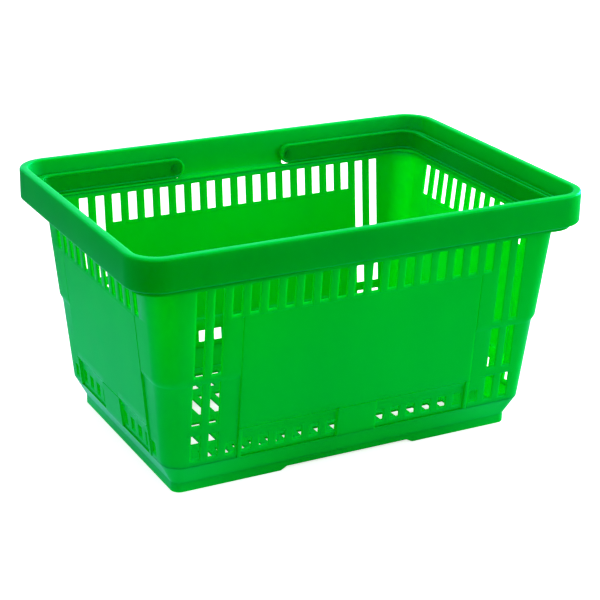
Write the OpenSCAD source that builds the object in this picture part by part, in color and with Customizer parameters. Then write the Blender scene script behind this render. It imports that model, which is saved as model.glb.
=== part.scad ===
// Shopping basket with two folding carry handles.
// Millimetres. Origin: bottom centre of the foot, +Z up, +X along the long side.

/* [Overall] */
// Length over the rim
length = 430; // [380:0.5:480]
// Width over the rim
width = 295; // [260:0.5:330]
// Height from the table to the top of the rim
height = 228; // [190:0.5:260]
// Wall thickness of the moulding
wall = 2.4; // [1.8:0.1:3.5]

/* [Rim] */
// Height of the bottom edge of the outer rim band
band_bottom = 199; // [180:0.5:215]
// Width of the lip seen from above
lip_width = 7.2; // [5:0.1:12]
// Thickness of the top of the lip
lip_top = 2.6; // [2:0.1:4]
// Outside corner radius of the rim
rim_corner = 29; // [20:0.5:40]
// Slope of the rim's inner wall, per mm of height
rim_draft = 0.1; // [0.05:0.01:0.15]
// Thickness of the rim's inner wall and of the ledge
ledge_thick = 2.1; // [1.8:0.1:4]
// Height of the top of the ledge the handles lie on
ledge_z = 196; // [180:0.5:205]
// Half length of the opening in the ledge under each pivot
ledge_hole_half = 5.7; // [3:0.1:9]

/* [Tub] */
// Half length of the tub wall planes at floor height, above the waist
half_x_upper = 176.3; // [160:0.1:200]
// Half length of the tub wall planes at floor height, below the waist
half_x_lower = 174.6; // [160:0.1:200]
// Half width of the tub wall planes at floor height, above the waist
half_y_upper = 115; // [100:0.1:130]
// Half width of the tub wall planes at floor height, below the waist
half_y_lower = 113.5; // [100:0.1:130]
// Outward taper of the short walls, per mm of height
taper_x = 0.095; // [0.05:0.005:0.15]
// Outward taper of the long walls, per mm of height
taper_y = 0.09; // [0.05:0.005:0.15]
// Corner radius at floor height
corner_base = 16; // [8:0.5:25]
// Growth of the corner radius per mm of height
corner_grow = 0.035; // [0:0.005:0.06]
// Height of the top of the waist step
waist_top = 109; // [100:0.5:130]
// Height of the bottom of the waist step
waist_bottom = 104; // [95:0.5:125]
// Height where the walls meet the base bevel
sill_z = 28; // [22:0.5:35]

/* [Slots] */
// Distance between slot centres
pitch = 16.1; // [14:0.1:18]
// Width of the wall slots
slot_w = 8.6; // [6:0.1:11]
// Slot columns along a long wall
long_cols = 20; // [16:2:24]
// Slot columns along a short wall
short_cols = 12; // [8:2:14]
// Height of the top of the upper slots
slot_top = 189.8; // [185:0.1:191]
// Height of the bottom of the short upper slots, long wall
slot_bottom_long = 162; // [150:0.5:175]
// Height of the bottom of the short upper slots, short wall
slot_bottom_short = 159.5; // [150:0.5:175]
// Height of the top of the small lower windows
window_top = 45; // [40:0.5:50]
// Height of the bottom of the lower windows
window_bottom = 32.4; // [30:0.1:38]
// Height of the bottom of the upper window in the end columns
tall_upper_bottom = 111.2; // [110:0.1:120]
// Height of the top of the middle window in the end columns
tall_middle_top = 105; // [90:0.1:107]
// Height of the bottom of the middle window in the end columns
tall_middle_bottom = 66.8; // [62:0.1:80]
// Height of the top of the lower window in the end columns
tall_lower_top = 59.2; // [50:0.1:60]
// Rise of the slot sills from the outer face to the inner face
sill_rise = 1.9; // [0:0.1:3]

/* [Panels] */
// Half width of the flat panel on a long wall
panel_half_long = 115.5; // [90:0.5:118]
// Half width of the flat panel on a short wall
panel_half_short = 84; // [60:0.5:86]
// Height of the bottom edge of the flat panels
panel_bottom = 57.5; // [52:0.5:65]
// Half width of the solid block between the lower pockets
block_half = 19.3; // [12:0.1:22]
// Depth of the lower pockets behind the wall face
pocket_depth = 1.4; // [0.8:0.1:3]

/* [Base] */
// Half length of the foot
foot_half_x = 167.1; // [150:0.1:180]
// Half width of the foot
foot_half_y = 105; // [90:0.1:120]
// Height of the foot band
foot_h = 9; // [6:0.5:14]
// Outside corner radius of the foot
foot_corner = 8.5; // [4:0.5:16]
// Half length of the raised part of the foot on the long sides
foot_gap_half = 60.3; // [30:0.1:90]
// Rise of that raised part
foot_gap_rise = 3.2; // [1:0.1:5]
// Thickness of the floor grid and height of the frame under its edge
floor_thick = 2.5; // [2:0.1:4]
// Width of that frame
frame_w = 3; // [2:0.1:5]
// Width of the floor slots
floor_slot_w = 9.2; // [6:0.1:11]
// Slot columns in the floor
floor_cols = 16; // [12:2:20]

/* [Handles] */
// Distance of each handle pivot from the middle of the basket
pivot_x = 60.2; // [45:0.1:75]
// Height of the handle strip
strip_h = 18.4; // [14:0.1:24]
// Gap between the folded handle and the ledge
rest_gap = 0.5; // [0.4:0.1:1.5]
// Thickness of the handle arms
arm_t = 4.8; // [3:0.1:7]
// Thickness of the hand grip
grip_t = 7.1; // [6:0.1:11]
// Gap between an arm and the foot of the rim's inner wall
arm_gap = 0.7; // [0.5:0.1:2]
// Outside corner radius of the handle
handle_corner = 20; // [16:0.5:30]
// Distance of the grip's outer face from the middle of the basket
grip_x = 201.2; // [195:0.1:206]
// Radius of the pivot pin
pin_r = 4.0; // [3:0.05:5]
// Radial running clearance of the pivot pin
pin_clear = 0.05; // [0.02:0.01:0.1]
// Height of the raised edge round the inner face of the handle
bead_h = 1.7; // [1:0.1:3]

/* [Colours] */
// Colour of the basket moulding
basket_colour = [0.0, 0.55, 0.12];
// Colour of the handles
handle_colour = [0.0, 0.50, 0.10];

/* [Hidden] */
$fn = 64;
tub_top = ledge_z - ledge_thick;
wall_top = height - 2;
ledge_in = lip_width + rim_draft * (wall_top - ledge_z) - ledge_thick;
in_y = width / 2 - ledge_in - ledge_thick;
pivot_z = ledge_z + rest_gap + strip_h / 2;
arm_out = in_y - arm_gap;
arm_in = arm_out - arm_t;
bore_r = pin_r + pin_clear;
socket_end = width / 2 - wall;
hull_fn = 32;

// Outer half length of the tub at height z
function tub_x(z) =
  z >= waist_top ? half_x_upper + taper_x * z
  : z <= waist_bottom ? half_x_lower + taper_x * z
  : tub_x(waist_bottom) + (tub_x(waist_top) - tub_x(waist_bottom))
    * (z - waist_bottom) / (waist_top - waist_bottom);

// Outer half width of the tub at height z
function tub_y(z) =
  z >= waist_top ? half_y_upper + taper_y * z
  : z <= waist_bottom ? half_y_lower + taper_y * z
  : tub_y(waist_bottom) + (tub_y(waist_top) - tub_y(waist_bottom))
    * (z - waist_bottom) / (waist_top - waist_bottom);

// Outside corner radius of the tub at height z
function tub_r(z) = corner_base + corner_grow * z;

// Position of slot column i out of n
function col(i, n) = (i - (n + 1) / 2) * pitch;

// Rounded rectangle about the origin from its half sizes
module rounded(hx, hy, r) {
  square([2 * (hx - r), 2 * hy], center = true);
  square([2 * hx, 2 * (hy - r)], center = true);
  for (sx = [-1, 1], sy = [-1, 1])
    translate([sx * (hx - r), sy * (hy - r)]) circle(r);
}

// Slab between two heights
module keep_z(z0, z1) {
  translate([-300, -300, z0]) cube([600, 600, z1 - z0]);
}

// ---------- rim ----------

// Section of the rim band: x = 0 is its outer face, x runs outward
module rim_profile() {
  difference() {
    union() {
      translate([-wall, band_bottom]) square([wall, height - band_bottom - 3]);
      polygon([
        [-lip_width, wall_top], [-ledge_in - ledge_thick, ledge_z],
        [-ledge_in, ledge_z], [-lip_width + ledge_thick, wall_top]
      ]);
      translate([-lip_width + 2, height - lip_top]) square([lip_width - 5, lip_top]);
      translate([-3, height - 3]) circle(3);
      translate([-lip_width + 2, height - 2]) circle(2);
    }
    polygon([
      [-lip_width + ledge_thick, height - lip_top],
      [-lip_width + ledge_thick - 0.6, height - lip_top - 6],
      [-wall, height - lip_top - 6], [-wall, height - lip_top]
    ]);
  }
}

// Straight rim rail on the +X side, s long
module rim_rail(half, s) {
  translate([half, s / 2, 0]) rotate([90, 0, 0]) linear_extrude(s) rim_profile();
}

// Pivot socket block and its bore, at the +Y side of the rim
module socket_block(x) {
  translate([x - 9, 0, 0]) rotate([90, 0, 90]) linear_extrude(18) polygon([
    [in_y + 1, ledge_z], [socket_end + 1, band_bottom],
    [socket_end + 1, height - 1], [in_y + 5, height - 1]
  ]);
}

module socket_cut(x) {
  translate([x, in_y - 1, pivot_z]) rotate([-90, 0, 0]) cylinder(r = bore_r, h = socket_end - in_y + 1);
  translate([x - ledge_hole_half, in_y - 1, ledge_z - 1]) cube([2 * ledge_hole_half, 6.4, 3.5]);
}

module rim_long() {
  difference() {
    union() {
      rotate([0, 0, 90]) rim_rail(width / 2, length - 2 * rim_corner);
      for (x = [-pivot_x, pivot_x]) socket_block(x);
    }
    for (x = [-pivot_x, pivot_x]) socket_cut(x);
  }
}

module rim_corner_piece() {
  translate([length / 2 - rim_corner, width / 2 - rim_corner, 0])
    rotate_extrude(angle = 90) translate([rim_corner, 0]) rim_profile();
}

module rim_back() color(basket_colour) rim_long();
module rim_front() color(basket_colour) rotate([0, 0, 180]) rim_long();
module rim_right() color(basket_colour) rim_rail(length / 2, width - 2 * rim_corner);
module rim_left() color(basket_colour) rotate([0, 0, 180]) rim_right();
module rim_corner_back_right() color(basket_colour) rim_corner_piece();
module rim_corner_front_left() color(basket_colour) rotate([0, 0, 180]) rim_corner_piece();
module rim_corner_back_left() color(basket_colour) mirror([1, 0, 0]) rim_corner_piece();
module rim_corner_front_right() color(basket_colour) mirror([0, 1, 0]) rim_corner_piece();

// ---------- ledge under the handles ----------

// Whole ledge outline with the tub opening cut out
module ledge_plate() {
  translate([0, 0, tub_top]) linear_extrude(ledge_thick) difference() {
    rounded(length / 2 - ledge_in, width / 2 - ledge_in, rim_corner - ledge_in);
    rounded(tub_x(tub_top) - wall, tub_y(tub_top) - wall, tub_r(tub_top) - wall);
  }
}

module ledge_long() {
  difference() {
    intersection() {
      ledge_plate();
      translate([-300, tub_y(tub_top) - wall, 0]) cube([600, 100, 300]);
    }
    for (x = [-pivot_x, pivot_x])
      translate([x - ledge_hole_half, in_y - 3.3, 0]) cube([2 * ledge_hole_half, 10, 300]);
  }
}

module ledge_short() {
  intersection() {
    ledge_plate();
    translate([tub_x(tub_top) - wall, -tub_y(tub_top) + wall, 0])
      cube([100, 2 * (tub_y(tub_top) - wall), 300]);
  }
}

// Infill of the ledge inside a tub corner
module ledge_infill() {
  r = tub_r(tub_top) - wall;
  translate([tub_x(tub_top) - wall - r, tub_y(tub_top) - wall - r, tub_top])
    linear_extrude(ledge_thick) difference() {
      square(r);
      circle(r + 1);
    }
}

module ledge_back() color(basket_colour) ledge_long();
module ledge_front() color(basket_colour) rotate([0, 0, 180]) ledge_long();
module ledge_right() color(basket_colour) ledge_short();
module ledge_left() color(basket_colour) rotate([0, 0, 180]) ledge_short();

// ---------- walls ----------

// Section of a wall from outer points [y, z], thickness measured level
module wall_section(pts) {
  n = len(pts);
  polygon(concat(pts, [for (i = [n - 1:-1:0]) [pts[i][0] - wall, pts[i][1]]]));
}

// Sweep a [y, z] section along X from x0 to x1, on the +Y side
module sweep(x0, x1) {
  translate([x0, 0, 0]) rotate([90, 0, 90]) linear_extrude(x1 - x0) children();
}

// Flat outline of a wall between its corner posts, from its half lengths
module wall_outline(a0, a1, a2, a3) {
  polygon([
    [-a0, sill_z], [a0, sill_z], [a1, waist_bottom], [a2, waist_top], [a3, tub_top],
    [-a3, tub_top], [-a2, waist_top], [-a1, waist_bottom]
  ]);
}

// One wall, +Y side. y0..y3 are outer distances at the sill, waist and top.
module wall_body(y0, y1, y2, y3, ph, pz, py_top, py_bot, a0, a1, a2, a3) {
  top = [[y2 + (y3 - y2) * (pz - waist_top) / (tub_top - waist_top), pz], [y3, tub_top]];
  plain = [[y0, sill_z], [y1, waist_bottom], [y2, waist_top], [y3, tub_top]];
  k = (y1 - y0) / (waist_bottom - sill_z);
  pocket = [
    [y0 - pocket_depth, sill_z],
    [y0 - pocket_depth + k * (panel_bottom - 6 - sill_z), panel_bottom - 6],
    [py_bot, panel_bottom], [py_top, pz]
  ];
  block = [[y0 + 0.8, sill_z], [py_bot, panel_bottom], [py_top, pz]];
  intersection() {
    union() {
      for (s = [-1, 1]) {
        sweep(s > 0 ? ph : -250, s > 0 ? 250 : -ph) wall_section(plain);
        sweep(s > 0 ? ph - 4.5 : -ph, s > 0 ? ph : -ph + 4.5) wall_section(concat(block, top));
        sweep(s > 0 ? block_half : -ph + 4.5, s > 0 ? ph - 4.5 : -block_half)
          wall_section(concat(pocket, top));
      }
      sweep(-block_half, block_half) wall_section(concat(block, top));
    }
    translate([0, 300, 0]) rotate([90, 0, 0]) linear_extrude(300) wall_outline(a0, a1, a2, a3);
  }
}

// Cutter for one slot through a +Y wall whose outer face is at distance d; its sill slopes outward
module slot(x, d, z0, z1) {
  over = 0.5;
  k = sill_rise / wall;
  sweep(x - slot_w / 2, x + slot_w / 2) polygon([
    [60, z0 + sill_rise + k * over], [d - wall - over, z0 + sill_rise + k * over],
    [d + over, z0 - k * over], [240, z0 - k * over], [240, z1], [60, z1]
  ]);
}

module wall_long() {
  n = long_cols;
  difference() {
    wall_body(
      tub_y(sill_z), tub_y(waist_bottom), tub_y(waist_top), tub_y(tub_top),
      panel_half_long, 160.5, tub_y(160.5) + 0.3, tub_y(panel_bottom) + 1.5,
      tub_x(sill_z) - tub_r(sill_z), tub_x(waist_bottom) - tub_r(waist_bottom),
      tub_x(waist_top) - tub_r(waist_top), tub_x(tub_top) - tub_r(tub_top)
    );
    for (i = [1:n]) {
      long = i <= 2 || i >= n - 1;
      x = col(i, n);
      bottom = long ? tall_upper_bottom : slot_bottom_long;
      slot(x, tub_y(bottom), bottom, slot_top);
      if (long) slot(x, tub_y(tall_middle_bottom), tall_middle_bottom, tall_middle_top);
      if (long) slot(x, tub_y(window_bottom), window_bottom, tall_lower_top);
      if (!long && i != n / 2 && i != n / 2 + 1)
        slot(x, tub_y(window_bottom) - pocket_depth, window_bottom, window_top);
    }
  }
}

module wall_short() {
  n = short_cols;
  difference() {
    wall_body(
      tub_x(sill_z), tub_x(waist_bottom), tub_x(waist_top), tub_x(tub_top),
      panel_half_short, 157.5, tub_x(157.5) + 0.3, tub_x(panel_bottom) + 1.6,
      tub_y(sill_z) - tub_r(sill_z), tub_y(waist_bottom) - tub_r(waist_bottom),
      tub_y(waist_top) - tub_r(waist_top), tub_y(tub_top) - tub_r(tub_top)
    );
    for (i = [1:n]) {
      slot(col(i, n), tub_x(slot_bottom_short), slot_bottom_short, slot_top);
      if (i != n / 2 && i != n / 2 + 1)
        slot(col(i, n), tub_x(window_bottom) - pocket_depth, window_bottom, window_top);
    }
  }
}

module wall_back() color(basket_colour) wall_long();
module wall_front() color(basket_colour) rotate([0, 0, 180]) wall_long();
module wall_right() color(basket_colour) rotate([0, 0, -90]) wall_short();
module wall_left() color(basket_colour) rotate([0, 0, 90]) wall_short();

// ---------- corner posts ----------

// Thin quarter disc at height z, its centre on the tub's corner axis
module quarter(hx, hy, r, less, z) {
  translate([hx - r, hy - r, z]) linear_extrude(0.01) intersection() {
    circle(r - less, $fn = hull_fn);
    square(r + 1);
  }
}

// Part of a corner post; [half x, half y, radius] run from a at z0 to b at z1
module post_part(a, b, z0, z1) {
  d = (b - a) / (z1 - z0) * 4;
  intersection() {
    difference() {
      hull() {
        quarter(a[0] - d[0], a[1] - d[1], a[2] - d[2], 0, z0 - 4);
        quarter(b[0] + d[0], b[1] + d[1], b[2] + d[2], 0, z1 + 4);
      }
      hull() {
        quarter(a[0] - d[0], a[1] - d[1], a[2] - d[2], wall, z0 - 4);
        quarter(b[0] + d[0], b[1] + d[1], b[2] + d[2], wall, z1 + 4);
      }
    }
    keep_z(z0, z1);
  }
}

function at(z) = [tub_x(z), tub_y(z), tub_r(z)];

// Post at the +X +Y corner, with the ledge infill on top
module post() {
  post_part(at(sill_z), at(waist_bottom), sill_z, waist_bottom);
  post_part(at(waist_bottom), at(waist_top), waist_bottom, waist_top);
  post_part(at(waist_top), at(tub_top), waist_top, tub_top);
  ledge_infill();
}

module corner_back_right() color(basket_colour) post();
module corner_front_left() color(basket_colour) rotate([0, 0, 180]) post();
module corner_back_left() color(basket_colour) mirror([1, 0, 0]) post();
module corner_front_right() color(basket_colour) mirror([0, 1, 0]) post();

// ---------- base ----------

// One side of the base, on the +Y side: foot band and the bevel above it.
// d0, d1 are its outer distances at the foot and the sill, a0, a1 its half lengths there.
module base_side(d0, d1, a0, a1, gap) {
  raised = [
    [-gap - 6, 0], [-gap, foot_gap_rise], [gap, foot_gap_rise], [gap + 6, 0]
  ];
  intersection() {
    sweep(-250, 250) polygon([
      [d0 - wall, 0], [d0, 0], [d0, foot_h], [d1, sill_z], [d1 - wall, sill_z], [d0 - wall, foot_h]
    ]);
    translate([0, 300, 0]) rotate([90, 0, 0]) linear_extrude(300) polygon(concat(
      gap > 0 ? raised : [],
      [[a0, 0], [a0, foot_h], [a1, sill_z], [-a1, sill_z], [-a0, foot_h], [-a0, 0]]
    ));
  }
}

module base_long() {
  base_side(
    foot_half_y, tub_y(sill_z), foot_half_x - foot_corner,
    tub_x(sill_z) - tub_r(sill_z), foot_gap_half
  );
}

module base_short() {
  base_side(
    foot_half_x, tub_x(sill_z), foot_half_y - foot_corner,
    tub_y(sill_z) - tub_r(sill_z), 0
  );
}

// Corner of the base, +X +Y
module base_corner() {
  foot = [foot_half_x, foot_half_y, foot_corner];
  post_part(foot, foot, 0, foot_h);
  post_part(foot, at(sill_z), foot_h, sill_z);
}

module base_back() color(basket_colour) base_long();
module base_front() color(basket_colour) rotate([0, 0, 180]) base_long();
module base_right() color(basket_colour) rotate([0, 0, -90]) base_short();
module base_left() color(basket_colour) rotate([0, 0, 90]) base_short();
module base_corner_back_right() color(basket_colour) base_corner();
module base_corner_front_left() color(basket_colour) rotate([0, 0, 180]) base_corner();
module base_corner_back_left() color(basket_colour) mirror([1, 0, 0]) base_corner();
module base_corner_front_right() color(basket_colour) mirror([0, 1, 0]) base_corner();

// ---------- floor ----------

// Slotted floor, with a frame under its edge that lies against the inside of the foot
module floor_grid() color(basket_colour) {
  rows = [[-92, -60], [-46, -7], [7, 46], [60, 92]];
  hx = foot_half_x - wall;
  hy = foot_half_y - wall;
  translate([0, 0, foot_h]) linear_extrude(floor_thick) difference() {
    rounded(hx, hy, foot_corner);
    for (i = [1:floor_cols], r = rows)
      translate([col(i, floor_cols) - floor_slot_w / 2, r[0]]) square([floor_slot_w, r[1] - r[0]]);
  }
  translate([0, 0, foot_h - floor_thick]) linear_extrude(floor_thick) difference() {
    rounded(hx, hy, foot_corner);
    rounded(hx - frame_w, hy - frame_w, foot_corner - frame_w);
  }
}

// ---------- handles ----------

// Outer plan of the folded right handle, from the pivots to the grip, shrunk by less
module handle_plan(less) {
  hx = grip_x - less;
  hy = arm_out - less;
  r = handle_corner - less;
  translate([pivot_x, -hy]) square([hx - r - pivot_x, 2 * hy]);
  translate([pivot_x, -hy + r]) square([hx - pivot_x, 2 * (hy - r)]);
  for (s = [-1, 1]) translate([hx - r, s * (hy - r)]) circle(r);
}

// Inside outline of the handle, grown outward by g
module handle_inside(g) {
  hx = grip_x - grip_t + g;
  hy = arm_in + g;
  r = handle_corner - 6 + g;
  translate([pivot_x - 20, -hy]) square([hx - r - pivot_x + 20, 2 * hy]);
  translate([pivot_x - 20, -hy + r]) square([hx - pivot_x + 20, 2 * (hy - r)]);
  for (s = [-1, 1]) translate([hx - r, s * (hy - r)]) circle(r);
}

module handle() {
  z0 = pivot_z - strip_h / 2;
  difference() {
    union() {
      translate([0, 0, z0]) linear_extrude(strip_h) difference() {
        handle_plan(0);
        handle_inside(0);
      }
      for (s = [-1, 1]) translate([pivot_x, s > 0 ? arm_in : -arm_out, pivot_z])
        rotate([-90, 0, 0]) cylinder(r = strip_h / 2, h = arm_t);
      for (s = [-1, 1]) translate([pivot_x, s > 0 ? arm_out - 1 : 0.7 - socket_end, pivot_z])
        rotate([-90, 0, 0]) cylinder(r = pin_r, h = socket_end - arm_out + 0.3);
    }
    translate([0, 0, z0 + bead_h]) linear_extrude(strip_h - 2 * bead_h) intersection() {
      handle_inside(1);
      translate([pivot_x, -200]) square([200, 400]);
    }
    for (s = [-1, 1]) translate([pivot_x, s > 0 ? arm_in - 1 : -arm_in - 1, pivot_z])
      rotate([-90, 0, 0]) cylinder(r = strip_h / 2 - bead_h, h = 2);
    translate([grip_x - grip_t / 2, 0, z0 + strip_h - 4]) linear_extrude(5)
      square([grip_t - 4.2, 216], center = true);
  }
}

module right_handle() color(handle_colour) handle();
module left_handle() color(handle_colour) rotate([0, 0, 180]) handle();

rim_front();
rim_back();
rim_left();
rim_right();
rim_corner_front_left();
rim_corner_front_right();
rim_corner_back_left();
rim_corner_back_right();
ledge_front();
ledge_back();
ledge_left();
ledge_right();
wall_front();
wall_back();
wall_left();
wall_right();
corner_front_left();
corner_front_right();
corner_back_left();
corner_back_right();
base_front();
base_back();
base_left();
base_right();
base_corner_front_left();
base_corner_front_right();
base_corner_back_left();
base_corner_back_right();
floor_grid();
left_handle();
right_handle();
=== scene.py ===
"""Shopping basket: the visual model, its materials, a pale studio and the camera.

Lengths below are in millimetres and become metres through MM when a mesh is made.
"""
import math

import bmesh
import bpy
from mathutils import Matrix, Vector


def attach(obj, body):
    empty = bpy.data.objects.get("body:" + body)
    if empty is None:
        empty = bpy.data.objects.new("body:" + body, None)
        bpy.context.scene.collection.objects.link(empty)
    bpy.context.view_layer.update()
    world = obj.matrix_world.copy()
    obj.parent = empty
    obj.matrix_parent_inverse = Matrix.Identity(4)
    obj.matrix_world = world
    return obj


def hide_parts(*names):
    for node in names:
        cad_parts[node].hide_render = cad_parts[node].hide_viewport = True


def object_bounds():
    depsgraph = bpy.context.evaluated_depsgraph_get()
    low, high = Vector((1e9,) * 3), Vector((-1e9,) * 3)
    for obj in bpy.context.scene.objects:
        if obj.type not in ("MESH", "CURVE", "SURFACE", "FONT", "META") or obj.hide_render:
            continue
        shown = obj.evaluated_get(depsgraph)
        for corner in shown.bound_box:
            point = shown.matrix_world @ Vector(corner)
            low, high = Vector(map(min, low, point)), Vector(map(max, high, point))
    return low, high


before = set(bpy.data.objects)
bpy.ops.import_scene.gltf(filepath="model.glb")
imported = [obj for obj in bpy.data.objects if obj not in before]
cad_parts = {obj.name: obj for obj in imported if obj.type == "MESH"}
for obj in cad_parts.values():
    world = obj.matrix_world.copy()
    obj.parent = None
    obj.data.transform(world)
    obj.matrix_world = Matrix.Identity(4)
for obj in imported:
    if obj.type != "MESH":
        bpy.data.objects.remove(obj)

cad_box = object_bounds()
MM = 0.001

# ---------- driving dimensions ----------

# Overall size, from the CAD box, and the wall thickness
LENGTH = (cad_box[1][0] - cad_box[0][0]) / MM
WIDTH = (cad_box[1][1] - cad_box[0][1]) / MM
HEIGHT = (cad_box[1][2] - cad_box[0][2]) / MM
WALL = 2.4

# Rim band, lip, ledge and the notches in the ledge under the pivots
BAND_BOTTOM = 199.0
BAND_R = 2.1
LIP_WIDTH = 7.2
LIP_TOP = 2.6
LIP_R_OUT, LIP_R_IN = 2.0, 1.2
RIM_CORNER = 29.0
RIM_DRAFT = 0.1
LEDGE_Z = 196.0
LEDGE_THICK = 2.1
LEDGE_HOLE_HALF = 5.7
NOTCH_BACK, NOTCH_RISE = 3.3, 2.5
NOTCH_REACH = {-1: 1.2, 1: 6.6}  # past the rim's inner wall: front side, back side
TUB_TOP = LEDGE_Z - LEDGE_THICK

# Waist step, top of the base bevel, and taper of the walls and corners:
# half size above and below the waist, brought down to the table, then growth per mm of height
WAIST_TOP, WAIST_BOTTOM = 109.0, 104.0
SILL = 28.0
TAPER_X = (176.3, 174.6, 0.095)
TAPER_Y = (115.0, 113.5, 0.09)
CORNER_BASE, CORNER_GROW = 16.0, 0.035

# Wall slots: height ranges run from the sill to the top
PITCH = 16.1
SLOT_W = 8.6
COLUMNS = {"long": 20, "short": 12}
SLOT_TOP = 189.8
SLOT_BOTTOM = {"long": 162.0, "short": 159.5}
WINDOW = (32.4, 45.0)
TALL_WINDOWS = ((111.2, SLOT_TOP), (64.5, 105.0), (32.4, 57.2))
SILL_RISE = 1.9
SLOT_EDGE_R = 0.4

# Flat panels: how far they stand proud at the top and at the bottom, and the grooves round them
PANEL_HALF = {"long": 115.5, "short": 83.6}
PANEL_TOP = {"long": 160.5, "short": 157.5}
PANEL_PROUD = {"long": (0.3, 1.5), "short": (0.3, 1.6)}
PANEL_BOTTOM = 57.5
PANEL_STRIP = 4.5
PANEL_STEP = 0.4
GROOVE_W, GROOVE_DEPTH = 1.4, 0.7
GROOVE_SIDE = (0.25, 0.3)
UNDER_GROOVE = (0.3, 1.3, 1.7)
BLOCK_HALF = 19.3
BLOCK_PROUD = 0.8
EDGE_GAP = 0.3
POCKET_DEPTH = 1.4
POCKET_SLOPE = 6.0

# Foot and floor grid
FOOT_X, FOOT_Y, FOOT_R, FOOT_H = 167.1, 105.0, 8.5, 9.0
FOOT_GAP_HALF, FOOT_GAP_RISE, FOOT_GAP_SLANT = 60.3, 3.2, 6.0
FLOOR_THICK = 2.5
FRAME_W = 3.0
FLOOR_COLS, FLOOR_SLOT_W = 16, 9.2
FLOOR_ROWS = ((-92.0, -60.0), (-46.0, -7.0), (7.0, 46.0), (60.0, 92.0))

# Handles
PIVOT_X = 60.2
STRIP_H = 18.4
REST_GAP, ARM_GAP = 0.5, 0.7
PIVOT_Z = LEDGE_Z + REST_GAP + STRIP_H / 2
RIM_INNER_Y = WIDTH / 2 - LIP_WIDTH - RIM_DRAFT * (HEIGHT - 2 - LEDGE_Z)
ARM_OUT = RIM_INNER_Y - ARM_GAP
ARM_T, GRIP_T = 4.8, 7.1
GRIP_X = 201.2
HANDLE_R, HANDLE_R_IN = 20.0, 14.0
BEAD = 1.7
STRIP_EDGE = 0.7
RECESS_DEPTH, RECESS_EDGE = 0.9, 0.35
GRIP_SHOULDER = 2.0
GRIP_GROOVE = ((109, 0), (107, 1), (104.5, 2.6), (102, 3.4))  # distance from the middle, depth
PIN_R, PIN_END_R, BORE_R = 4.0, 3.6, 4.05

CORNER_STEPS = 14  # edges in a quarter turn


def tub_x(z):
    """Outer half length of the tub at height z."""
    return waisted(z, *TAPER_X)


def tub_y(z):
    """Outer half width of the tub at height z."""
    return waisted(z, *TAPER_Y)


def waisted(z, upper, lower, taper):
    """Half size at height z of a wall with the waist step in it."""
    if z >= WAIST_TOP:
        return upper + taper * z
    if z <= WAIST_BOTTOM:
        return lower + taper * z
    t = (z - WAIST_BOTTOM) / (WAIST_TOP - WAIST_BOTTOM)
    low = lower + taper * WAIST_BOTTOM
    return low + t * (upper + taper * WAIST_TOP - low)


def tub_r(z):
    """Outside corner radius of the tub at height z."""
    return CORNER_BASE + CORNER_GROW * z


def lerp(a, b, t):
    return a + (b - a) * t


# ---------- mesh helpers ----------


def new_object(name, bm, body, replaced, material, sharp=32):
    """Makes the bmesh, in mm, a named piece that rides on a body."""
    bmesh.ops.remove_doubles(bm, verts=bm.verts, dist=0.01)
    bmesh.ops.recalc_face_normals(bm, faces=bm.faces)
    bmesh.ops.scale(bm, vec=(MM, MM, MM), verts=bm.verts)
    mesh = bpy.data.meshes.new(name)
    bm.to_mesh(mesh)
    bm.free()
    mesh.shade_smooth()
    mesh.set_sharp_from_angle(angle=math.radians(sharp))
    obj = bpy.data.objects.new(name, mesh)
    bpy.context.scene.collection.objects.link(obj)
    mesh.materials.append(material)
    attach(obj, body)
    if replaced:
        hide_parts(*replaced)
    return obj


def quad(bm, a, b, c, d):
    """A face from four vertices, leaving out repeats, or None if it is too small or already there."""
    vs = []
    for v in (a, b, c, d):
        if v not in vs:
            vs.append(v)
    if len(vs) > 2 and not bm.faces.get(vs):
        return bm.faces.new(vs)
    return None


def shell_from_grid(bm, outer, inner, hole, cyclic, edge=0.3):
    """A plate of two layers of grid points, open where hole(row, column) is true, with edges rounded."""
    rows, cols = len(outer), len(outer[0])
    vo = [[bm.verts.new(p) for p in row] for row in outer]
    vi = [[bm.verts.new(p) for p in row] for row in inner]
    last = cols if cyclic else cols - 1

    def solid(i, j):
        if i < 0 or i >= rows - 1:
            return False
        if cyclic:
            return not hole(i, j % cols)
        return 0 <= j < last and not hole(i, j)

    sides = set()
    for i in range(rows - 1):
        for j in range(last):
            if not solid(i, j):
                continue
            k = (j + 1) % cols
            quad(bm, vo[i][j], vo[i][k], vo[i + 1][k], vo[i + 1][j])
            quad(bm, vi[i][j], vi[i + 1][j], vi[i + 1][k], vi[i][k])
            if not solid(i - 1, j):
                sides.add(quad(bm, vo[i][j], vi[i][j], vi[i][k], vo[i][k]))
            if not solid(i + 1, j):
                sides.add(quad(bm, vo[i + 1][j], vo[i + 1][k], vi[i + 1][k], vi[i + 1][j]))
            if not solid(i, j - 1):
                sides.add(quad(bm, vo[i][j], vo[i + 1][j], vi[i + 1][j], vi[i][j]))
            if not solid(i, j + 1):
                sides.add(quad(bm, vo[i][k], vi[i][k], vi[i + 1][k], vo[i + 1][k]))
    loose = [v for v in bm.verts if not v.link_faces]
    bmesh.ops.delete(bm, geom=loose, context="VERTS")
    bmesh.ops.recalc_face_normals(bm, faces=bm.faces)
    rims = [
        e for e in bm.edges
        if e.is_manifold and sides & set(e.link_faces) and e.calc_face_angle() > math.radians(40)
    ]
    bmesh.ops.bevel(
        bm, geom=rims, offset=edge, segments=2, profile=0.5, affect="EDGES", clamp_overlap=False
    )


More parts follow.
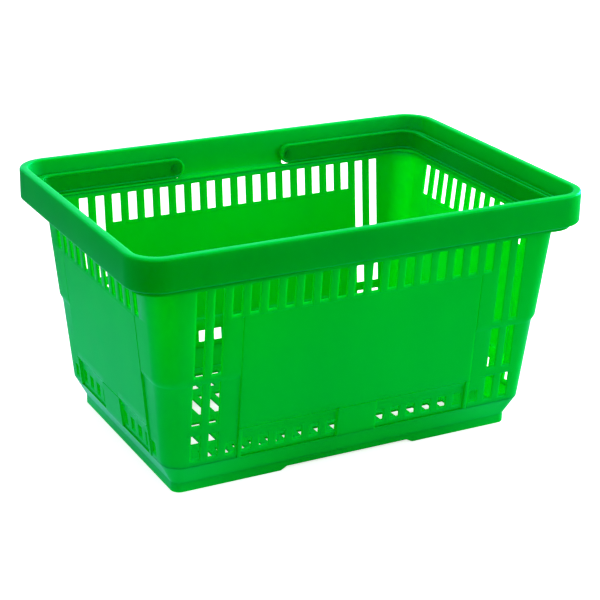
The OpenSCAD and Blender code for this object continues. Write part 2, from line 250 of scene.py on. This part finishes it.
def rounded_loop(hx, hy, r, z, xs=()):
    """Points round a rounded rectangle, with extra stops xs on its front and back sides."""
    centres = [(1, -1, -90), (1, 1, 0), (-1, 1, 90), (-1, -1, 180)]
    stops = [[], [(x, hy) for x in reversed(xs)], [], [(x, -hy) for x in xs]]
    height = z if callable(z) else (lambda x, y: z)
    pts = []
    for (sx, sy, start), side in zip(centres, stops):
        for k in range(CORNER_STEPS + 1):
            a = math.radians(start + 90 * k / CORNER_STEPS)
            pts.append((sx * (hx - r) + r * math.cos(a), sy * (hy - r) + r * math.sin(a)))
        pts += side
    return [Vector((x, y, height(x, y))) for x, y in pts]


def ring_from_loops(bm, loops):
    """A closed ring whose section runs through the loops in turn."""
    rings = [[bm.verts.new(p) for p in loop] for loop in loops]
    n = len(rings[0])
    for a, b in zip(rings, rings[1:] + rings[:1]):
        for j in range(n):
            k = (j + 1) % n
            quad(bm, a[j], a[k], b[k], b[j])


def box_mesh(bm, low, high):
    """A box from its lowest to its highest corner."""
    made = bmesh.ops.create_cube(bm, size=1)["verts"]
    size = Vector(high) - Vector(low)
    bmesh.ops.scale(bm, vec=size, verts=made)
    bmesh.ops.translate(bm, vec=(Vector(low) + Vector(high)) / 2, verts=made)


def rod_mesh(bm, x, y0, y1, z, r, segments=48):
    """A cylinder along Y."""
    turn = Matrix.Rotation(math.radians(90), 4, "X")
    place = Matrix.Translation((x, (y0 + y1) / 2, z)) @ turn
    bmesh.ops.create_cone(
        bm, cap_ends=True, segments=segments, radius1=r, radius2=r, depth=abs(y1 - y0), matrix=place
    )


def cut(obj, bm):
    """Cuts the bmesh, in mm, out of an object and keeps the result as its mesh."""
    bmesh.ops.scale(bm, vec=(MM, MM, MM), verts=bm.verts)
    mesh = bpy.data.meshes.new("cutter")
    bm.to_mesh(mesh)
    bm.free()
    tool = bpy.data.objects.new("cutter", mesh)
    bpy.context.scene.collection.objects.link(tool)
    mod = obj.modifiers.new("cut", "BOOLEAN")
    mod.operation = "DIFFERENCE"
    mod.solver = "EXACT"
    mod.object = tool
    deps = bpy.context.evaluated_depsgraph_get()
    done = bpy.data.meshes.new_from_object(obj.evaluated_get(deps))
    obj.modifiers.clear()
    obj.data = done
    bpy.data.objects.remove(tool)


# ---------- materials ----------


# What the plastic's surface reflects
GLOSS_TINT = (0.0, 1.0, 0.95, 1)


def plastic(name, deep, bright, roughness):
    """Moulded plastic that light soaks into, with slow colour drift, fine grain and soft flow marks."""
    mat = bpy.data.materials.new(name)
    mat.use_nodes = True
    nodes, links = mat.node_tree.nodes, mat.node_tree.links
    shader = nodes["Principled BSDF"]
    place = nodes.new("ShaderNodeTexCoord")

    def noise(scale, detail, stretch=(1, 1, 1)):
        mapping = nodes.new("ShaderNodeMapping")
        mapping.inputs["Scale"].default_value = stretch
        links.new(place.outputs["Object"], mapping.inputs["Vector"])
        tex = nodes.new("ShaderNodeTexNoise")
        tex.inputs["Scale"].default_value = scale
        tex.inputs["Detail"].default_value = detail
        links.new(mapping.outputs["Vector"], tex.inputs["Vector"])
        return tex.outputs["Fac"]

    ramp = nodes.new("ShaderNodeValToRGB")
    ramp.color_ramp.elements[0].position = 0.3
    ramp.color_ramp.elements[0].color = (*deep, 1)
    ramp.color_ramp.elements[1].position = 0.75
    ramp.color_ramp.elements[1].color = (*bright, 1)
    links.new(noise(9, 3, (1, 1, 0.5)), ramp.inputs["Fac"])
    links.new(ramp.outputs["Color"], shader.inputs["Base Color"])

    rough = nodes.new("ShaderNodeMapRange")
    rough.inputs["To Min"].default_value = roughness - 0.06
    rough.inputs["To Max"].default_value = roughness + 0.08
    links.new(noise(60, 4), rough.inputs["Value"])
    links.new(rough.outputs["Result"], shader.inputs["Roughness"])

    bump = nodes.new("ShaderNodeBump")
    bump.inputs["Strength"].default_value = 0.06
    bump.inputs["Distance"].default_value = 0.0004
    links.new(noise(1400, 2), bump.inputs["Height"])
    flow = nodes.new("ShaderNodeBump")
    flow.inputs["Strength"].default_value = 0.12
    flow.inputs["Distance"].default_value = 0.002
    links.new(noise(14, 2, (1, 1, 0.6)), flow.inputs["Height"])
    links.new(bump.outputs["Normal"], flow.inputs["Normal"])
    links.new(flow.outputs["Normal"], shader.inputs["Normal"])

    shader.inputs["Specular IOR Level"].default_value = 0.0
    shader.inputs["Subsurface Weight"].default_value = 1.0
    shader.inputs["Subsurface Radius"].default_value = (0.02, 1.0, 0.04)
    shader.inputs["Subsurface Scale"].default_value = 0.010

    gloss = nodes.new("ShaderNodeBsdfPrincipled")
    gloss.inputs["Base Color"].default_value = GLOSS_TINT
    gloss.inputs["Metallic"].default_value = 1.0
    links.new(rough.outputs["Result"], gloss.inputs["Roughness"])
    links.new(flow.outputs["Normal"], gloss.inputs["Normal"])
    fresnel = nodes.new("ShaderNodeFresnel")
    fresnel.inputs["IOR"].default_value = 1.45
    links.new(flow.outputs["Normal"], fresnel.inputs["Normal"])
    mix = nodes.new("ShaderNodeMixShader")
    links.new(fresnel.outputs["Fac"], mix.inputs[0])
    links.new(shader.outputs[0], mix.inputs[1])
    links.new(gloss.outputs[0], mix.inputs[2])
    links.new(mix.outputs[0], nodes["Material Output"].inputs["Surface"])
    return mat


BASKET = plastic("basket_green", (0.0, 0.50, 0.004), (0.0, 0.60, 0.006), 0.34)
HANDLE = plastic("handle_green", (0.0, 0.34, 0.004), (0.0, 0.41, 0.005), 0.32)

# ---------- tub: four walls and corner posts in one shell ----------


PLAIN = {"long": tub_y, "short": tub_x}


def wall_out(kind, u, z):
    """Distance out of a wall's outer face, u along it and z up."""
    plain = PLAIN[kind]
    half, top = PANEL_HALF[kind], PANEL_TOP[kind]
    if abs(u) >= half or z > top:
        return plain(z)
    if abs(u) > half - GROOVE_W:
        return plain(z) - GROOVE_DEPTH
    high = plain(top) + PANEL_PROUD[kind][0]
    low = plain(PANEL_BOTTOM) + PANEL_PROUD[kind][1]
    if z >= PANEL_BOTTOM:
        return lerp(low, high, (z - PANEL_BOTTOM) / (top - PANEL_BOTTOM))
    drop = PANEL_BOTTOM - z
    groove = GROOVE_DEPTH if UNDER_GROOVE[0] <= drop <= UNDER_GROOVE[1] + 0.01 else 0
    if abs(u) <= BLOCK_HALF - EDGE_GAP or abs(u) >= half - PANEL_STRIP:
        return lerp(plain(SILL) + BLOCK_PROUD, low, (z - SILL) / (PANEL_BOTTOM - SILL)) - groove
    deep = plain(min(z, PANEL_BOTTOM - POCKET_SLOPE)) - POCKET_DEPTH
    if drop >= POCKET_SLOPE:
        return deep
    return lerp(low, deep, drop / POCKET_SLOPE) - groove


def slot_centres(count):
    return [(i - (count - 1) / 2) * PITCH for i in range(count)]


def windows(kind, index):
    """Height ranges that are open in a slot column."""
    count = COLUMNS[kind]
    if kind == "long" and (index < 2 or index >= count - 2):
        return TALL_WINDOWS
    open_at = [(SLOT_BOTTOM[kind], SLOT_TOP)]
    if index not in (count // 2 - 1, count // 2):
        open_at.append(WINDOW)
    return open_at


def wall_stops(kind):
    """Fixed stops along a wall: slot edges and panel steps."""
    count = COLUMNS[kind]
    stops = []
    for c in slot_centres(count):
        stops += [c - SLOT_W / 2, c + SLOT_W / 2]
    half = PANEL_HALF[kind]
    strip = half - PANEL_STRIP
    edges = [half, half - GROOVE_SIDE[0], half - GROOVE_W + GROOVE_SIDE[1], half - GROOVE_W]
    edges += [strip, strip - EDGE_GAP, BLOCK_HALF - EDGE_GAP, BLOCK_HALF]
    for edge in edges:
        stops += [-edge, edge]
    return sorted(stops)


def sill_height(kind, u, z):
    """Height of an inner wall point: the slot sills rise toward the inside."""
    count = COLUMNS[kind]
    for index, c in enumerate(slot_centres(count)):
        if abs(abs(u - c) - SLOT_W / 2) < 0.001:
            for low, _ in windows(kind, index):
                if low <= z < low + 2 * SILL_RISE:
                    return low + SILL_RISE + (z - low) / 2
    return z


def build_tub():
    """Rows of points round the tub at every height where something starts or ends."""
    rows = {SILL, WAIST_BOTTOM, WAIST_TOP, PANEL_BOTTOM, PANEL_BOTTOM - POCKET_SLOPE, TUB_TOP, SLOT_TOP}
    rows |= {PANEL_BOTTOM - v for v in UNDER_GROOVE}
    rows |= set(WINDOW) | {z for pair in TALL_WINDOWS for z in pair}
    for kind in ("long", "short"):
        rows |= {SLOT_BOTTOM[kind], PANEL_TOP[kind], PANEL_TOP[kind] + PANEL_STEP}
    rows = sorted(rows)

    def side_points(kind, turn, z):
        """Outer and inner points along one wall, from left to right seen from outside."""
        out, inn = [], []
        for u in wall_stops(kind):
            zi = sill_height(kind, u, z)
            d, di = wall_out(kind, u, z), wall_out(kind, u, zi) - WALL
            if abs(PANEL_HALF[kind] - abs(u)) < 2 * GROOVE_W:
                di = PLAIN[kind](z) - WALL
            for pts, dist, h in ((out, d, z), (inn, di, zi)):
                c, s = math.cos(turn), math.sin(turn)
                pts.append(Vector((c * u + s * dist, s * u - c * dist, h)))
        return out, inn

    def corner_points(sx, sy, start, z):
        """Outer and inner points round one corner, from the angle start."""
        out, inn = [], []
        r = tub_r(z)
        cx, cy = sx * (tub_x(z) - r), sy * (tub_y(z) - r)
        for k in range(CORNER_STEPS + 1):
            a = math.radians(start + 90 * k / CORNER_STEPS)
            for pts, rad in ((out, r), (inn, r - WALL)):
                pts.append(Vector((cx + rad * math.cos(a), cy + rad * math.sin(a), z)))
        return out, inn

    plan = [
        ("long", 0, (1, -1, -90)), ("short", 90, (1, 1, 0)),
        ("long", 180, (-1, 1, 90)), ("short", 270, (-1, -1, 180)),
    ]
    outer, inner, labels = [], [], []
    for z in rows:
        row_out, row_in, row_labels = [], [], []
        for kind, turn, corner in plan:
            o, n = side_points(kind, math.radians(turn), z)
            row_out += o
            row_in += n
            row_labels += [(kind, u) for u in wall_stops(kind)]
            o, n = corner_points(*corner, z)
            row_out += o
            row_in += n
            row_labels += [None] * len(o)
        outer.append(row_out)
        inner.append(row_in)
        labels = row_labels

    def is_open(i, j):
        here, after = labels[j], labels[(j + 1) % len(labels)]
        if here is None or after is None:
            return False
        kind = here[0]
        middle = (here[1] + after[1]) / 2
        zm = (rows[i] + rows[i + 1]) / 2
        count = COLUMNS[kind]
        for index, c in enumerate(slot_centres(count)):
            if abs(middle - c) < SLOT_W / 2:
                return any(a < zm < b for a, b in windows(kind, index))
        return False

    bm = bmesh.new()
    shell_from_grid(bm, outer, inner, is_open, cyclic=True, edge=SLOT_EDGE_R)
    new_object(
        "tub_walls", bm, "basket",
        ["wall_front", "wall_back", "wall_left", "wall_right", "corner_front_left",
         "corner_front_right", "corner_back_left", "corner_back_right"],
        BASKET, sharp=28,
    )


# ---------- rim: band, lip, inner wall and ledge ----------


def build_rim():
    """One closed section run round the tub, then the notches and the pivot holes cut out of it."""
    xs = (-PIVOT_X, PIVOT_X)

    def at(d, z):
        """Loop d inside the rim's outer face."""
        return rounded_loop(LENGTH / 2 - d, WIDTH / 2 - d, RIM_CORNER - d, z, xs)

    def arc(dc, zc, r, a0, a1, n):
        """Loops round an edge of the section, from angle a0 to a1."""
        turns = [math.radians(lerp(a0, a1, k / n)) for k in range(n + 1)]
        return [at(dc - r * math.cos(a), zc + r * math.sin(a)) for a in turns]

    wall_top = HEIGHT - 2
    foot_d = LIP_WIDTH + RIM_DRAFT * (wall_top - LEDGE_Z)
    open_x, open_y = tub_x(TUB_TOP) - WALL, tub_y(TUB_TOP) - WALL
    open_r = tub_r(TUB_TOP) - WALL

    def opening(grow, z):
        """Loop round the tub's opening."""
        return rounded_loop(open_x + grow, open_y + grow, open_r + grow, z, xs)

    loops = [at(WALL, BAND_BOTTOM + 0.3), at(WALL - 0.3, BAND_BOTTOM)]
    loops += arc(BAND_R, BAND_BOTTOM + BAND_R, BAND_R, -90, 0, 6)
    loops += arc(LIP_R_OUT, HEIGHT - LIP_R_OUT, LIP_R_OUT, 0, 90, 8)
    for k in range(6):
        a = math.radians(90 * k / 5)
        d, z = LIP_WIDTH + LIP_R_IN * (math.sin(a) - 1), HEIGHT + LIP_R_IN * (math.cos(a) - 1)
        loops.append(at(d, z))
    loops += [at(foot_d - 0.1, LEDGE_Z + 1.0), at(foot_d + 0.2, LEDGE_Z + 0.25)]
    loops += [at(foot_d + 1.0, LEDGE_Z), opening(0.9, LEDGE_Z), opening(0.25, LEDGE_Z - 0.25)]
    loops += [opening(0, LEDGE_Z - 0.9), opening(0, TUB_TOP)]
    loops += [at(foot_d - LEDGE_THICK, TUB_TOP), at(foot_d - LEDGE_THICK, LEDGE_Z)]
    loops += [at(LIP_WIDTH - LEDGE_THICK, HEIGHT - LIP_TOP), at(WALL, HEIGHT - LIP_TOP)]
    bm = bmesh.new()
    ring_from_loops(bm, loops)
    names = ["rim_front", "rim_back", "rim_left", "rim_right"]
    names += ["ledge_front", "ledge_back", "ledge_left", "ledge_right"]
    names += [f"rim_corner_{a}_{b}" for a in ("front", "back") for b in ("left", "right")]
    rim = new_object("rim_and_ledge", bm, "basket", names, BASKET)

    tool = bmesh.new()
    for sx in (-1, 1):
        for sy in (-1, 1):
            x = sx * PIVOT_X
            y0, y1 = sorted((sy * (RIM_INNER_Y - NOTCH_BACK), sy * (RIM_INNER_Y + NOTCH_REACH[sy])))
            low = (x - LEDGE_HOLE_HALF, y0, TUB_TOP - 1)
            box_mesh(tool, low, (x + LEDGE_HOLE_HALF, y1, LEDGE_Z + NOTCH_RISE))
            y0, y1 = sorted((sy * (RIM_INNER_Y - 4), sy * (WIDTH / 2 - WALL - 0.2)))
            rod_mesh(tool, x, y0, y1, PIVOT_Z, BORE_R)
    cut(rim, tool)
    rim.data.shade_smooth()
    rim.data.set_sharp_from_angle(angle=math.radians(32))


# ---------- base: bevel and foot ----------


def build_base():
    """Bevel from the sill down to the foot, whose lower edge is raised midway along the long sides."""
    gap_end = FOOT_GAP_HALF + FOOT_GAP_SLANT
    xs = (-gap_end, -FOOT_GAP_HALF, FOOT_GAP_HALF, gap_end)

    def foot_line(x, y):
        """Height of the foot's lower edge."""
        if abs(y) < FOOT_Y - WALL - 1 or abs(x) > gap_end - 0.01:
            return 0.0
        return FOOT_GAP_RISE

    def raised(extra):
        return lambda x, y: foot_line(x, y) + extra

    sill = (tub_x(SILL), tub_y(SILL), tub_r(SILL))

    def part(t, less, z):
        """Loop part of the way t from the foot to the sill, drawn in by less."""
        hx, hy, r = (lerp(a, b, t) - less for a, b in zip((FOOT_X, FOOT_Y, FOOT_R), sill))
        return rounded_loop(hx, hy, r, z, xs)

    loops = [
        part(0, 0.5, raised(0)),
        part(0, 0.15, raised(0.15)),
        part(0, 0, raised(0.5)),
        part(0, 0, FOOT_H - 0.6),
        part(0.035, 0, FOOT_H + 0.5),
        part(1, 0, SILL),
        part(1, WALL, SILL),
        part(0, WALL, FOOT_H),
        part(0, WALL, raised(0)),
    ]
    bm = bmesh.new()
    ring_from_loops(bm, loops)
    names = [f"base_{s}" for s in ("front", "back", "left", "right")]
    names += [f"base_corner_{a}_{b}" for a in ("front", "back") for b in ("left", "right")]
    new_object("foot_and_bevel", bm, "basket", names, BASKET, sharp=20)


# ---------- floor grid ----------


def build_floor():
    """Slotted plate, run a little into the foot, with a frame under its edge."""
    hx, hy = FOOT_X - WALL + 0.4, FOOT_Y - WALL + 0.4
    top_z = FOOT_H + FLOOR_THICK
    xs = [-hx]
    for c in slot_centres(FLOOR_COLS):
        xs += [c - FLOOR_SLOT_W / 2, c + FLOOR_SLOT_W / 2]
    xs.append(hx)
    ys = [-hy] + [y for pair in FLOOR_ROWS for y in pair] + [hy]

    def point(x, y, z):
        corner = abs(x) == hx and abs(y) == hy
        trim = 1.5 if corner else 0
        return Vector((math.copysign(abs(x) - trim, x), math.copysign(abs(y) - trim, y), z))

    top = [[point(x, y, top_z) for x in xs] for y in ys]
    under = [[point(x, y, FOOT_H) for x in xs] for y in ys]
    bm = bmesh.new()
    shell_from_grid(bm, top, under, lambda i, j: i % 2 == 1 and j % 2 == 1, cyclic=False)
    high, low = FOOT_H + 0.2, FOOT_H - FLOOR_THICK
    ring_from_loops(bm, [
        rounded_loop(hx - less, hy - less, FOOT_R - less, z)
        for less, z in ((0, high), (0, low), (FRAME_W, low), (FRAME_W, high))
    ])
    new_object("floor_slats", bm, "basket", ["floor_grid"], BASKET)


# ---------- handles ----------


def handle_stations():
    """Along the right handle from its back arm: outer and inner point, half height, half height of the
    recess in the inner face, depth of the groove along the top."""
    inside_x, inside_y = GRIP_X - GRIP_T, ARM_OUT - ARM_T
    half = STRIP_H / 2
    quarter = []
    for k in range(9):
        dx = half * math.cos(math.radians(90 * k / 8))
        h = max(math.sqrt(max(half * half - dx * dx, 0)), 0.12)
        rr = half - BEAD
        recess = math.sqrt(rr * rr - dx * dx) if dx < rr else 0
        x = PIVOT_X - dx
        quarter.append(((x, ARM_OUT), (x, inside_y), h, recess, 0))
    bend = GRIP_X - HANDLE_R - 1
    quarter.append(((bend, ARM_OUT), (bend, inside_y), half, half - BEAD, 0))
    for k in range(CORNER_STEPS + 1):
        a = math.radians(90 - 90 * k / CORNER_STEPS)
        out = (GRIP_X - HANDLE_R + HANDLE_R * math.cos(a), ARM_OUT - HANDLE_R + HANDLE_R * math.sin(a))
        inn = (
            inside_x - HANDLE_R_IN + HANDLE_R_IN * math.cos(a),
            inside_y - HANDLE_R_IN + HANDLE_R_IN * math.sin(a),
        )
        quarter.append((out, inn, half, half - BEAD, 0))
    for y, groove in GRIP_GROOVE:
        quarter.append(((GRIP_X, y), (inside_x, y), half, half - BEAD, groove))
    mirrored = [((o[0], -o[1]), (i[0], -i[1]), h, r, g) for o, i, h, r, g in reversed(quarter)]
    return quarter + mirrored


def handle_section(thick, half, recess, groove):
    """Section points (depth from the outer face, height), the same number at every station."""
    e = min(STRIP_EDGE, half * 0.6)
    g0, g1 = GRIP_SHOULDER, thick - GRIP_SHOULDER
    sink = RECESS_DEPTH if recess > 0 else 0.0
    lip = RECESS_EDGE if recess > 0 else 0.0
    low_in = lip * (recess > 0.5)
    pts = [(e, -half), (0.2 * e, -half + 0.2 * e), (0, -half + e)]
    pts += [(0, half - e), (0.2 * e, half - 0.2 * e), (e, half)]
    pts += [(g0 - 0.3, half), (g0, half - 0.3 * (groove > 0)), (g0 + 0.2, half - groove)]
    pts += [(g1 - 0.2, half - groove), (g1, half - 0.3 * (groove > 0)), (g1 + 0.3, half)]
    pts += [(thick - e, half), (thick - 0.2 * e, half - 0.2 * e), (thick, half - e)]
    mid = thick - 0.25 * sink
    pts += [(thick, recess + lip), (mid, recess + 0.3 * lip), (thick - sink, recess - low_in)]
    pts += [(thick - sink, -recess + low_in), (mid, -recess - 0.3 * lip), (thick, -recess - lip)]
    pts += [(thick, -half + e), (thick - 0.2 * e, -half + 0.2 * e), (thick - e, -half)]
    return pts


def build_handle(side):
    """side is 1 for the right handle, -1 for the left."""
    bm = bmesh.new()
    rings = []
    for out, inn, half, recess, groove in handle_stations():
        o, i = Vector((*out, 0)), Vector((*inn, 0))
        thick = (i - o).length
        ring = []
        for depth, h in handle_section(thick, half, recess, groove):
            p = o.lerp(i, depth / thick)
            ring.append(bm.verts.new((p.x, p.y, PIVOT_Z + h)))
        rings.append(ring)
    n = len(rings[0])
    for a, b in zip(rings, rings[1:]):
        for j in range(n):
            quad(bm, a[j], a[(j + 1) % n], b[(j + 1) % n], b[j])
    bm.faces.new(rings[0])
    bm.faces.new(list(reversed(rings[-1])))
    for s in (-1, 1):
        rod_mesh(bm, PIVOT_X, s * (ARM_OUT - 1), s * (WIDTH / 2 - WALL - 0.7), PIVOT_Z, PIN_R)
        rod_mesh(bm, PIVOT_X, s * (ARM_OUT - 2), s * (ARM_OUT - ARM_T + 0.25), PIVOT_Z, PIN_END_R, 32)
    if side < 0:
        bmesh.ops.rotate(bm, cent=(0, 0, 0), matrix=Matrix.Rotation(math.pi, 3, "Z"), verts=bm.verts)
    name = "right_handle" if side > 0 else "left_handle"
    new_object(name + "_bail", bm, name, [name], HANDLE, sharp=35)


build_tub()
build_rim()
build_base()
build_floor()
build_handle(1)
build_handle(-1)

# ---------- studio ----------

# Floor brightness to the eye and as light, the fill all round, and the direction that stays dark
FLOOR_WHITE = 0.75
FLOOR_GLOW = 0.6
WORLD_FILL = 0.58
DARK_SIDE = (-0.47, -0.883, 0)
LAMP_AIM = (0, 0, 0.12)
# Name, place, size and power of each lamp
LAMPS = (
    ("overhead", (0.0, 0.2, 1.5), (1.4, 1.0), 6),
    ("right_side", (1.4, 0.2, 0.5), (0.9, 0.7), 32),
    ("back_wall", (0.1, 1.5, 0.6), (1.4, 0.8), 2),
    ("front_high", (-0.4, -1.3, 1.3), (1.0, 1.0), 1.5),
    ("front_right", (1.1, -1.0, 0.5), (0.7, 0.7), 4.5),
)


def area_light(name, place, size, power):
    """A rectangular lamp that faces the basket."""
    data = bpy.data.lights.new(name, "AREA")
    data.shape = "RECTANGLE"
    data.size, data.size_y = size
    data.energy = power
    lamp = bpy.data.objects.new(name, data)
    bpy.context.scene.collection.objects.link(lamp)
    lamp.location = place
    lamp.rotation_euler = (Vector(LAMP_AIM) - Vector(place)).to_track_quat("-Z", "Y").to_euler()


def floor_material():
    """Pale floor. As light it is brightest round the basket, weak under it, dark towards the camera."""
    mat = bpy.data.materials.new("studio_white")
    mat.use_nodes = True
    nodes, links = mat.node_tree.nodes, mat.node_tree.links

    def maths(kind, a, b):
        node = nodes.new("ShaderNodeMath")
        node.operation = kind
        for socket, value in zip(node.inputs, (a, b)):
            if isinstance(value, float):
                socket.default_value = value
            else:
                links.new(value, socket)
        return node.outputs[0]

    def fade(value, start, end, high, low):
        node = nodes.new("ShaderNodeMapRange")
        node.interpolation_type = "SMOOTHSTEP"
        for name, number in zip(("From Min", "From Max", "To Min", "To Max"), (start, end, high, low)):
            node.inputs[name].default_value = number
        links.new(value, node.inputs["Value"])
        return node.outputs["Result"]

    def vector_maths(kind, a, b):
        node = nodes.new("ShaderNodeVectorMath")
        node.operation = kind
        links.new(a, node.inputs[0])
        node.inputs[1].default_value = b
        return node

    # Fades over the cosine of the angle from the dark side, then over the distance from the middle
    place = nodes.new("ShaderNodeNewGeometry").outputs["Position"]
    flat = vector_maths("MULTIPLY", place, (1, 1, 0)).outputs["Vector"]
    reach = vector_maths("LENGTH", flat, (0, 0, 0)).outputs["Value"]
    toward = vector_maths("DOT_PRODUCT", flat, DARK_SIDE).outputs["Value"]
    dark = fade(maths("DIVIDE", toward, reach), 0.55, 0.95, 0.0, 0.9)
    sector = maths("SUBTRACT", 1.0, maths("MULTIPLY", dark, fade(reach, 0.26, 0.45, 0.0, 1.0)))
    under = fade(reach, 0.12, 0.21, 0.3, 1.0)
    glow = maths("MULTIPLY", maths("MULTIPLY", fade(reach, 0.3, 0.8, 1.0, 0.3), under), sector)

    unseen = nodes.new("ShaderNodeEmission")
    links.new(maths("MULTIPLY", glow, FLOOR_GLOW), unseen.inputs["Strength"])
    seen = nodes["Principled BSDF"]
    seen.inputs["Base Color"].default_value = (0.8, 0.8, 0.8, 1)
    seen.inputs["Roughness"].default_value = 0.9
    seen.inputs["Emission Color"].default_value = (1, 1, 1, 1)
    seen.inputs["Emission Strength"].default_value = FLOOR_WHITE
    mix = nodes.new("ShaderNodeMixShader")
    links.new(nodes.new("ShaderNodeLightPath").outputs["Is Camera Ray"], mix.inputs[0])
    links.new(unseen.outputs[0], mix.inputs[1])
    links.new(seen.outputs[0], mix.inputs[2])
    links.new(mix.outputs[0], nodes["Material Output"].inputs["Surface"])
    return mat


def studio_world():
    """White where the camera sees it, a soft grey fill as light."""
    world = bpy.data.worlds.new("studio")
    bpy.context.scene.world = world
    world.use_nodes = True
    nodes, links = world.node_tree.nodes, world.node_tree.links
    fill = nodes["Background"]
    fill.inputs["Color"].default_value = (1, 1, 1, 1)
    fill.inputs["Strength"].default_value = WORLD_FILL
    seen = nodes.new("ShaderNodeBackground")
    seen.inputs["Color"].default_value = (1, 1, 1, 1)
    mix = nodes.new("ShaderNodeMixShader")
    links.new(nodes.new("ShaderNodeLightPath").outputs["Is Camera Ray"], mix.inputs[0])
    links.new(fill.outputs[0], mix.inputs[1])
    links.new(seen.outputs[0], mix.inputs[2])
    links.new(mix.outputs[0], nodes["World Output"].inputs["Surface"])


def studio():
    """Floor, world and lamps."""
    bm = bmesh.new()
    bmesh.ops.create_grid(bm, x_segments=1, y_segments=1, size=6)
    mesh = bpy.data.meshes.new("studio_floor")
    bm.to_mesh(mesh)
    bm.free()
    ground = bpy.data.objects.new("studio_floor", mesh)
    bpy.context.scene.collection.objects.link(ground)
    mesh.materials.append(floor_material())
    ground.location = (0, 0, -0.0002)
    studio_world()
    for name, place, size, power in LAMPS:
        area_light(name, place, size, power)


studio()

# ---------- camera ----------

AZIMUTH, ELEVATION, ROLL = -28.052, 21.414, 1.158
TARGET = Vector((4.86, 0, 109.74)) * MM
DISTANCE = 1554.2 * MM
LENS, SENSOR = 102.27, 36.0


def add_camera():
    """The camera at the photo's angle."""
    az, el, roll = (math.radians(v) for v in (AZIMUTH, ELEVATION, ROLL))
    back = Vector((math.sin(az) * math.cos(el), -math.cos(az) * math.cos(el), math.sin(el)))
    right = Vector((math.cos(az), math.sin(az), 0))
    up = back.cross(right)
    right, up = (
        right * math.cos(roll) + up * math.sin(roll),
        up * math.cos(roll) - right * math.sin(roll),
    )
    data = bpy.data.cameras.new("camera")
    data.sensor_width = SENSOR
    data.lens = LENS
    cam = bpy.data.objects.new("camera", data)
    bpy.context.scene.collection.objects.link(cam)
    turn = Matrix((right, up, back)).transposed().to_4x4()
    cam.matrix_world = Matrix.Translation(TARGET + back * DISTANCE) @ turn
    bpy.context.scene.camera = cam


add_camera()
bpy.context.scene.view_settings.view_transform = "Standard"
